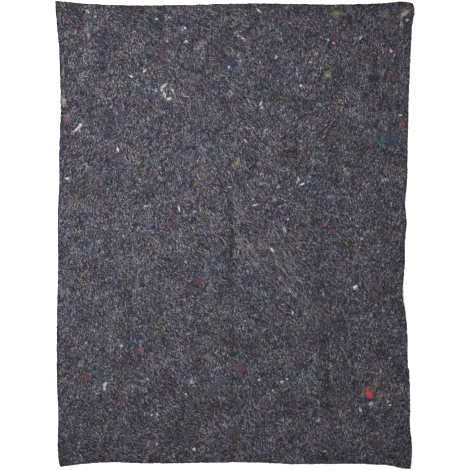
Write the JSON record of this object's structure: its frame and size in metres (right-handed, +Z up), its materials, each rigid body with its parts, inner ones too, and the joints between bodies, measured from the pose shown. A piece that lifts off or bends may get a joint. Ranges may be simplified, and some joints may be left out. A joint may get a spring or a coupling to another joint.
{
  "type": "moving blanket",
  "caption": "Flat moving blanket: one thick panel of grey recycled-fibre felt flecked with coloured threads, with plain cut edges and soft storage creases.",
  "frame": {"origin": "under the middle of the outline, on the surface that the blanket lies on", "axes": "+Z up, out of the blanket's upper face; +Y along its long side, towards the top of the reference view; +X across it, to the right"},
  "size_m": [1.5588, 2.031, 0.0094],
  "materials": {
    "felt": "matt needled felt of shredded grey and coloured fibres"
  },
  "bodies": {
    "root": {"felt_panel": "felt"}
  },
  "joints": []
}
